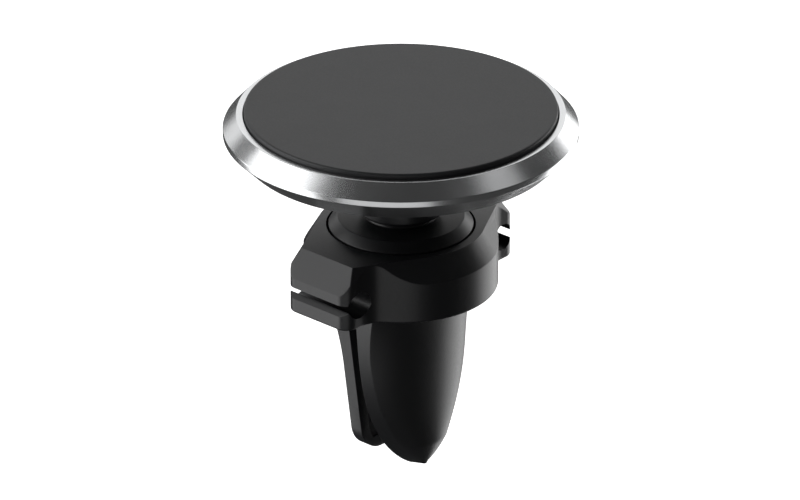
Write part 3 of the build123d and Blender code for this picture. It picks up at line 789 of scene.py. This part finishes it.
# ---- head
@dataclass
class MagneticHead:
    """The round head: a soft face in a bevelled metal ring, with a dished back cover.

    Attributes:
        radius: the ring's outer radius.
        low_bevel: reach of the ring's lower bevel, inwards and down.
        rim_height: height of the upright band between the two bevels.
        plate_radius: radius of the soft face.
        plate_rounding: radii of the face's lower and upper rim.
        plate_steps: pieces in each of those two arcs.
        shadow_gap: gap between the face and the ring.
        land: width of the ring's level land beside the face.
        ledge: width of the ledge under the face.
        proud: how far the face stands above the land.
        cover_gap: from the lower bevel's inner edge to the back cover's seat.
        cover_height: height of that seat.
        ring_rounding: radii of the ring's corners from the land's inner edge down to the cover's seat.
        ring_sides: sides of the turned ring.
        screw_circle: radius of the circle of cover screws.
        screw_turn: turn of that circle, in degrees.
        screw_count: how many cover screws there are.
        hidden: CAD nodes kept inside the head, each with its finish.
    """

    radius: float = 22.0
    low_bevel: float = 2.5
    rim_height: float = 0.75
    plate_radius: float = 19.4
    plate_rounding: Point2 = (0.08, 0.32)
    plate_steps: int = 7
    shadow_gap: float = 0.12
    land: float = 0.8
    ledge: float = 0.75
    proud: float = 0.65
    cover_gap: float = 0.43
    cover_height: float = 1.25
    ring_rounding: tuple[float, ...] = (0.07, 0.1, 0.2, 0.12, 0.12, 0.05)
    ring_sides: int = 360
    screw_circle: float = 16.0
    screw_turn: float = 30.0
    screw_count: int = 3
    hidden: tuple[tuple[str, Finish], ...] = (
        ("face_adhesive", Finish.TAPE),
        ("magnet_holder", Finish.CORE_PLASTIC),
        ("magnets", Finish.NICKEL),
        ("yoke_plate", Finish.ZINC),
        ("spacer_plate", Finish.ZINC),
        ("swivel_washer", Finish.SPRING),
    )

    def face(self, wardrobe: Wardrobe) -> None:
        """Builds the soft face plate with its rounded rim.

        Args:
            wardrobe: where its finishes come from.
        """
        low, high = node_span("face_plate")
        outline = rounded(
            [(0, low[2]), (self.plate_radius, low[2]), (self.plate_radius, high[2]), (0, high[2])],
            [0, *self.plate_rounding, 0],
            steps=self.plate_steps,
        )
        plate = lathe("face_pad", outline)
        wardrobe.dress(plate, Finish.SOFT_FACE)
        finish_normals(plate)
        place(plate, "head", "face_plate")

    def ring(self, wardrobe: Wardrobe) -> None:
        """Builds the turned ring with its land, two bevels and upright band.

        Args:
            wardrobe: where its finishes come from.
        """
        base = node_span("bezel_ring")[0][2]
        plate_low, plate_high = (span[2] for span in node_span("face_plate"))
        seat = self.plate_radius + self.shadow_gap
        land_z = plate_high - self.proud
        cover_r = self.radius - self.low_bevel - self.cover_gap
        outline = [
            (self.plate_radius - self.ledge, base + self.cover_height),
            (self.plate_radius - self.ledge, plate_low),
            (seat, plate_low),
            (seat, land_z),
            (seat + self.land, land_z),
            (self.radius, base + self.low_bevel + self.rim_height),
            (self.radius, base + self.low_bevel),
            (self.radius - self.low_bevel, base),
            (cover_r, base),
            (cover_r, base + self.cover_height),
        ]
        radii = [0, 0, 0, *self.ring_rounding, 0]
        ring = lathe("turned_bezel", rounded(outline, radii), self.ring_sides)
        wardrobe.dress(ring, Finish.ALUMINIUM)
        finish_normals(ring)
        place(ring, "head", "bezel_ring")

    def back(self, wardrobe: Wardrobe) -> None:
        """Dresses the back cover and builds its screws.

        Args:
            wardrobe: where its finishes come from.
        """
        cover = carried_over("back_cover", "dished_back_cover")
        wardrobe.dress(cover, Finish.BODY_PLASTIC)
        place(cover, "head", "back_cover")
        screws = Screws(
            name="cover_screws",
            node="back_cover_screws",
            body="head",
            pattern=Pattern.RING,
            count=self.screw_count,
            width=self.screw_circle,
            turn=self.screw_turn,
        )
        screws.build(wardrobe)

    def build(self, wardrobe: Wardrobe) -> None:
        """Builds and dresses the whole head.

        Args:
            wardrobe: where its finishes come from.
        """
        self.face(wardrobe)
        self.ring(wardrobe)
        self.back(wardrobe)
        for node, finish in self.hidden:
            wardrobe.dress(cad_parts[node], finish)


# ---- ball joint and base
@dataclass
class BallJoint:
    """The ball stud, its split liner and the cup that holds them.

    Attributes:
        pieces: each piece's CAD node, name, body and finish.
    """

    pieces: tuple[tuple[str, str, str, Finish], ...] = (
        ("ball_stud", "polished_ball_stud", "stud", Finish.POLISHED),
        ("socket_liner", "split_liner", "liner", Finish.LINER),
        ("ball_socket", "ball_cup", "base", Finish.BODY_PLASTIC),
    )

    def build(self, wardrobe: Wardrobe) -> None:
        """Builds and dresses the joint's pieces.

        Args:
            wardrobe: where its finishes come from.
        """
        for node, name, body, finish in self.pieces:
            piece = carried_over(node, name)
            wardrobe.dress(piece, finish)
            place(piece, body, node)


@dataclass
class VentBase:
    """The body with its two cable ears, the bevelled cap on top and the plate below.

    Attributes:
        cap_radius: the cap's radius.
        cap_bevel: reach of the bevel round its top.
        cap_rounding: radii of the bevel's upper and lower edge.
        plateau: height of the cap's level top.
        neck_radius: radius of the neck under the cup.
        neck_flare: radius of the flare between the neck and the level top.
        flare_steps: pieces in each of the cap's arcs.
        spigot_radius: bore that takes the cup's spigot.
        spigot_floor: height of that bore's floor.
        tail_radius: bore that takes the cup's tail.
        screw_spread: spacing of the floor screws along X and along Y.
        screw_count: how many floor screws there are.
        hidden: CAD nodes kept inside the body, each with its finish.
    """

    cap_radius: float = 9.0
    cap_bevel: float = 1.1
    cap_rounding: Point2 = (0.12, 0.1)
    plateau: float = 9.2
    neck_radius: float = 4.34
    neck_flare: float = 0.7
    flare_steps: int = 6
    spigot_radius: float = 3.02
    spigot_floor: float = 7.0
    tail_radius: float = 1.27
    screw_spread: Point2 = (8.0, 17.4)
    screw_count: int = 4
    hidden: tuple[tuple[str, Finish], ...] = (
        ("socket_washer", Finish.ZINC),
        ("socket_nut", Finish.ZINC),
        ("jaw_pins", Finish.POLISHED),
        ("jaw_springs", Finish.SPRING),
    )

    def cap(self, wardrobe: Wardrobe) -> None:
        """Builds the cap: a bevelled disc that flares up into the neck.

        Args:
            wardrobe: where its finishes come from.
        """
        low, high = node_span("neck_cap")
        outline = [
            (self.spigot_radius, self.spigot_floor),
            (self.spigot_radius, high[2]),
            (self.neck_radius, high[2]),
            (self.neck_radius, self.plateau),
            (self.cap_radius - self.cap_bevel, self.plateau),
            (self.cap_radius, self.plateau - self.cap_bevel),
            (self.cap_radius, low[2]),
            (self.tail_radius, low[2]),
            (self.tail_radius, self.spigot_floor),
        ]
        radii = [0, 0, 0, self.neck_flare, *self.cap_rounding, 0, 0, 0]
        cap = lathe("bevelled_neck_cap", rounded(outline, radii, self.flare_steps))
        wardrobe.dress(cap, Finish.BODY_PLASTIC)
        finish_normals(cap)
        place(cap, "base", "neck_cap")

    def shell(self, wardrobe: Wardrobe) -> None:
        """Dresses the body shell and the base plate.

        Args:
            wardrobe: where its finishes come from.
        """
        for node, name in (("body_shell", "eared_body"), ("base_plate", "window_plate")):
            piece = carried_over(node, name)
            wardrobe.dress(piece, Finish.BODY_PLASTIC)
            place(piece, "base", node)

    def build(self, wardrobe: Wardrobe) -> None:
        """Builds and dresses the base.

        Args:
            wardrobe: where its finishes come from.
        """
        self.cap(wardrobe)
        self.shell(wardrobe)
        screws = Screws(
            name="floor_screws",
            node="body_screws",
            body="base",
            pattern=Pattern.RECTANGLE,
            count=self.screw_count,
            width=self.screw_spread[0],
            depth=self.screw_spread[1],
        )
        screws.build(wardrobe)
        for node, finish in self.hidden:
            wardrobe.dress(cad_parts[node], finish)


# ---- jaws
def tongue_share(depth: float, length: float) -> float:
    """Gives the long jaw's width at a depth, which shrinks to a round tip.

    Args:
        depth: depth below the root, in millimetres.
        length: the jaw's length, in millimetres.

    Returns:
        The width, as a share of the root's.
    """
    fullness, sharpness = 3.4, 0.78
    share = min(max(depth / length, 0.0), 1.0)
    return (1.0 - share**fullness) ** sharpness


def blunt_share(depth: float, length: float) -> float:
    """Gives the short jaw's width at a depth, which tapers to a blunt end with round corners.

    Args:
        depth: depth below the root, in millimetres.
        length: the jaw's length, in millimetres.

    Returns:
        The width, as a share of the root's.
    """
    corner, half, tip = 3.2, 9.3, 7.6
    into = min(max(depth - length + corner, 0.0), corner)
    width = half + (tip - half) * min(max(depth / length, 0.0), 1.0)
    return (width - corner + sqrt(corner**2 - into**2)) / half


@dataclass
class Jaw:
    """One jaw: a swelling rubber boot with a ribbed grip pad in its leaning inner face.

    Attributes:
        name: the jaw's body, which also starts its nodes' names.
        side: 1 for the side of +Y, -1 for the side of -Y.
        length: from the body's underside to the tip.
        draft: how much narrower the outer edges are at the tip.
        share: the outline: depth and length to a share of the root's width.
        half_width: half width at the root.
        inner: from the slot's middle to the inner face at the root.
        lean: sideways step of the slot for each millimetre of depth.
        edge: thickness of the edges.
        root_swell: how much thicker the edges are at the root.
        swell_depth: depth where that swelling ends.
        root_middle: thickness of the middle at the root.
        tip_middle: thickness of the middle at the tip.
        roundness: most that the outer face bulges, as a share of its half width.
        least_outer: narrowest outer edge, as a share of the inner one.
        land: width of the rim round the recess.
        recess: depth of the recess that takes the grip pad.
        widest_pocket: widest recess, as a share of the inner face.
        levels: rings from the root to the tip.
        arc_steps: pieces in the outer face's arc.
        rib_pitch: distance between the ribs.
        rib_start: place of the first rib below the pad's top, in pitches.
        rib_radius: the ribs' radius.
        rib_margin: from the ribs' ends to the recess's edge.
        least_rib: half length of the shortest rib.
        tip_half: half width where the tip is cut off.
        tip_rounding: width of the rounding along sharp edges.
        tip_angle: edges that turn by more than this many degrees are rounded.
        top_room: room left above the root, so that it clears the body as the jaw opens.
    """

    name: str
    side: int
    length: float
    draft: float
    share: Callable[[float, float], float]
    half_width: float = 9.3
    inner: float = 0.75
    lean: float = 0.0699
    edge: float = 1.7
    root_swell: float = 1.5
    swell_depth: float = 9.0
    root_middle: float = 6.2
    tip_middle: float = 3.5
    roundness: float = 0.55
    least_outer: float = 0.3
    land: float = 1.5
    recess: float = 0.55
    widest_pocket: float = 0.98
    levels: int = 80
    arc_steps: int = 40
    rib_pitch: float = 1.3
    rib_start: float = 1.2
    rib_radius: float = 0.2
    rib_margin: float = 0.5
    least_rib: float = 0.3
    tip_half: float = 1.0
    tip_rounding: float = 0.18
    tip_angle: float = 24.0
    top_room: float = 0.1

    def edge_at(self, depth: float) -> float:
        """Gives the thickness of the jaw's edges at a depth.

        Args:
            depth: depth below the root, in millimetres.

        Returns:
            The thickness, in millimetres.
        """
        fade = 1 - min(max(depth / self.swell_depth, 0.0), 1.0)
        return self.edge + self.root_swell * fade**2

    def bulge_at(self, depth: float, half: float) -> float:
        """Gives how far the outer face stands beyond the edges at a depth.

        Args:
            depth: depth below the root, in millimetres.
            half: half width of the outer edges there.

        Returns:
            The distance, in millimetres.
        """
        share = min(max(depth / self.length, 0.0), 1.0)
        middle = self.root_middle + (self.tip_middle - self.root_middle) * share
        return min(middle - self.edge_at(depth), self.roundness * half)

    def recess_half(self, depth: float) -> float:
        """Gives the half width of the recess in the inner face at a depth.

        Args:
            depth: depth below the root, in millimetres.

        Returns:
            The half width, in millimetres; 0 past the recess's end.
        """
        if depth >= self.length - self.land:
            return 0.0
        return max(self.half_width * self.share(depth, self.length) - self.land, 0.0)

    def section(self, depth: float, height: float) -> list[Point3]:
        """Draws one level ring of the boot.

        Args:
            depth: depth below the root that sets its shape, in millimetres.
            height: height at which it is drawn, in millimetres.

        Returns:
            The ring's points, in millimetres.
        """
        width = self.half_width * self.share(depth, self.length)
        outer = max(width - self.draft * depth / self.length, width * self.least_outer)
        bulge = self.bulge_at(depth, outer)
        edge = self.inner + self.edge_at(depth)
        pocket = min(self.recess_half(depth), width * self.widest_pocket)
        deep = self.inner + (self.recess if pocket > 0 else 0.0)
        outline = [
            (-outer, edge),
            (-width, self.inner),
            (-pocket, self.inner),
            (-pocket, deep),
            (pocket, deep),
            (pocket, self.inner),
            (width, self.inner),
            (outer, edge),
        ]
        radius = (outer**2 + bulge**2) / (2 * bulge)
        span = asin(min(outer / radius, 1.0))
        centre = edge + bulge - radius
        for i in range(1, self.arc_steps):
            turn = span - 2 * span * i / self.arc_steps
            outline.append((radius * sin(turn), centre + radius * cos(turn)))
        return [(x, self.side * y - depth * self.lean, height) for x, y in outline]

    def boot(self, wardrobe: Wardrobe) -> None:
        """Skins the boot's sections from the body down to its tip.

        Args:
            wardrobe: where its finishes come from.
        """
        top = node_span(f"{self.name}_boot")[1][2] - self.top_room
        rings = [self.section(0.0, top)]
        for i in range(self.levels + 1):
            depth = self.length * sin(pi / 2 * i / self.levels)
            if self.half_width * self.share(depth, self.length) > self.tip_half:
                rings.append(self.section(depth, -depth))
        boot = from_rings(f"{self.name}_soft_boot", rings, closed=False)
        wardrobe.dress(boot, Finish.JAW_RUBBER)
        finish_normals(boot, bevel=self.tip_rounding, angle=self.tip_angle)
        place(boot, self.name, f"{self.name}_boot")

    def ribs(self, wardrobe: Wardrobe) -> None:
        """Lays the grip pad's cross ribs with Geometry Nodes.

        Args:
            wardrobe: where its finishes come from.
        """
        low, high = node_span(f"{self.name}_pad")
        count = int((high[2] - low[2] - self.rib_pitch) / self.rib_pitch)
        heights = [high[2] - self.rib_pitch * (i + self.rib_start) for i in range(count)]
        level = self.side * (self.inner + self.rib_radius)
        mesh = bpy.data.meshes.new(f"{self.name}_grip_ribs")
        mesh.from_pydata([(0, (level + z * self.lean) * MM, z * MM) for z in heights], [], [])
        reach = mesh.attributes.new("reach", "FLOAT", "POINT")
        halves = [self.recess_half(self.rib_radius - z) - self.rib_margin for z in heights]
        reach.data.foreach_set("value", [max(half, self.least_rib) * MM for half in halves])
        ribs = link_mesh(f"{self.name}_grip_ribs", mesh)
        material = wardrobe.material(Finish.GRIP_RUBBER)
        grow(ribs, rib_tree(), {"Rib Radius": self.rib_radius * MM, "Material": material})
        finish_normals(ribs)
        place(ribs, self.name)

    def build(self, wardrobe: Wardrobe) -> None:
        """Builds and dresses the jaw.

        Args:
            wardrobe: where its finishes come from.
        """
        self.boot(wardrobe)
        self.ribs(wardrobe)
        wardrobe.dress(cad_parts[f"{self.name}_core"], Finish.CORE_PLASTIC)
        wardrobe.dress(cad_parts[f"{self.name}_pad"], Finish.GRIP_RUBBER)


# ---- studio
@dataclass(frozen=True)
class SoftBox:
    """A soft rectangular light, placed as seen from the camera.

    Attributes:
        name: the light's name.
        right: millimetres to the right of the object.
        near: millimetres towards the camera, measured level.
        up: millimetres above the object.
        width: its width in millimetres.
        height: its height in millimetres.
        glow: its radiance.
    """

    name: str
    right: float
    near: float
    up: float
    width: float
    height: float
    glow: float


@dataclass
class Studio:
    """The floor, the lights and the camera.

    Attributes:
        azimuth: turn of the camera about the upright axis, in degrees from -Y.
        elevation: its height above the level, in degrees.
        distance: from the aim to the camera, in millimetres.
        view_width: width of the view at the aim, in millimetres.
        aim: the point that the lights and the camera look at, in millimetres.
        aim_right: the camera's shift to the right of the aim, in millimetres.
        aim_up: its shift up the view, in millimetres.
        sensor: width of the camera's sensor, in millimetres.
        clip: nearest and farthest distance in view, in metres.
        floor_drop: from the lowest point of the mount to the floor, in millimetres.
        floor_half: half width of the floor, in metres.
        floor_grey: the floor's grey.
        floor_roughness: its roughness.
        world_strength: strength of the even surround.
        boxes: the soft lights.
    """

    azimuth: float = 312.44
    elevation: float = 25.63
    distance: float = 1137.0
    view_width: float = 99.268
    aim: tuple[float, float, float] = (0.0, 0.0, 5.0)
    aim_right: float = -0.12
    aim_up: float = -0.63
    sensor: float = 36.0
    clip: Point2 = (0.05, 20.0)
    floor_drop: float = 60.0
    floor_half: float = 3.0
    floor_grey: float = 0.92
    floor_roughness: float = 0.9
    world_strength: float = 0.045
    boxes: tuple[SoftBox, ...] = (
        SoftBox("left_softbox", -450, 40, 20, 520, 820, 1.9),
        SoftBox("upper_left_softbox", -330, 0, 430, 300, 260, 0.6),
        SoftBox("right_softbox", 320, 60, 400, 170, 300, 0.45),
        SoftBox("right_back_wall", 380, -330, -160, 420, 700, 2.2),
        SoftBox("back_softbox", -60, -480, 230, 860, 460, 0.95),
        SoftBox("front_fill", -100, 560, -220, 620, 360, 0.65),
    )

    def directions(self) -> tuple[Vector, Vector, Vector]:
        """Works out the view's directions.

        Returns:
            Unit vectors to the camera, to the view's right and up the view.
        """
        turn, rise = radians(self.azimuth), radians(self.elevation)
        toward = Vector((sin(turn) * cos(rise), -cos(turn) * cos(rise), sin(rise)))
        right = Vector((cos(turn), sin(turn), 0.0))
        return toward, right, toward.cross(right)

    def camera(self) -> None:
        """Places the camera."""
        toward, right, upward = self.directions()
        target = Vector(self.aim) + right * self.aim_right + upward * self.aim_up
        data = bpy.data.cameras.new("view_camera")
        data.sensor_width = self.sensor
        data.lens = self.sensor * self.distance / self.view_width
        data.clip_start, data.clip_end = self.clip
        camera = bpy.data.objects.new("view_camera", data)
        bpy.context.scene.collection.objects.link(camera)
        camera.location = (target + toward * self.distance) * MM
        camera.rotation_euler = toward.to_track_quat("Z", "Y").to_euler()
        bpy.context.scene.camera = camera

    def lights(self) -> None:
        """Places the soft boxes round the object, turned to its middle."""
        _, right, _ = self.directions()
        near = Vector((right.y, -right.x, 0.0))
        middle = Vector(self.aim)
        for box in self.boxes:
            data = bpy.data.lights.new(box.name, "AREA")
            data.shape = "RECTANGLE"
            data.size, data.size_y = box.width * MM, box.height * MM
            data.energy = box.glow * pi * data.size * data.size_y
            light = bpy.data.objects.new(box.name, data)
            bpy.context.scene.collection.objects.link(light)
            spot = middle + right * box.right + near * box.near + Vector((0, 0, box.up))
            light.location = spot * MM
            light.rotation_euler = (spot - middle).to_track_quat("Z", "Y").to_euler()

    def floor(self) -> None:
        """Lays the plain pale floor."""
        mesh = bpy.data.meshes.new("studio_floor")
        half, level = self.floor_half, cad_low[2] - self.floor_drop * MM
        corners = [(-half, -half, level), (half, -half, level), (half, half, level), (-half, half, level)]
        mesh.from_pydata(corners, [], [(0, 1, 2, 3)])
        floor = link_mesh("studio_floor", mesh)
        material, _, shader = new_material("pale_floor")
        shader.inputs["Base Color"].default_value = (*[self.floor_grey] * 3, 1.0)
        shader.inputs["Roughness"].default_value = self.floor_roughness
        shader.inputs["Emission Color"].default_value = (1.0, 1.0, 1.0, 1.0)
        shader.inputs["Emission Strength"].default_value = 1.0
        floor.data.materials.append(material)
        floor.visible_glossy = False
        floor.visible_diffuse = False
        floor.visible_shadow = False

    def world(self) -> None:
        """Sets an even pale surround."""
        world = bpy.data.worlds.new("studio_world")
        world.use_nodes = True
        world.node_tree.nodes.clear()
        tree = Tree(world.node_tree)
        glow = tree.add("ShaderNodeBackground", {"Color": (1, 1, 1, 1), "Strength": self.world_strength})
        tree.add("ShaderNodeOutputWorld", {"Surface": glow.outputs[0]})
        bpy.context.scene.world = world

    def build(self) -> None:
        """Builds the whole studio."""
        self.floor()
        self.world()
        self.lights()
        self.camera()
        bpy.context.scene.view_settings.view_transform = "Standard"


def main() -> None:
    """Builds the mount's pieces in order, then the studio."""
    logging.basicConfig(level=logging.INFO, format="%(message)s", stream=sys.stdout)
    wardrobe = Wardrobe()
    MagneticHead().build(wardrobe)
    BallJoint().build(wardrobe)
    VentBase().build(wardrobe)
    Jaw("long_jaw", side=-1, length=24.4, draft=1.2, share=tongue_share).build(wardrobe)
    Jaw("short_jaw", side=1, length=20.9, draft=0.0, share=blunt_share).build(wardrobe)
    Studio().build()


if __name__ == "__main__":
    main()
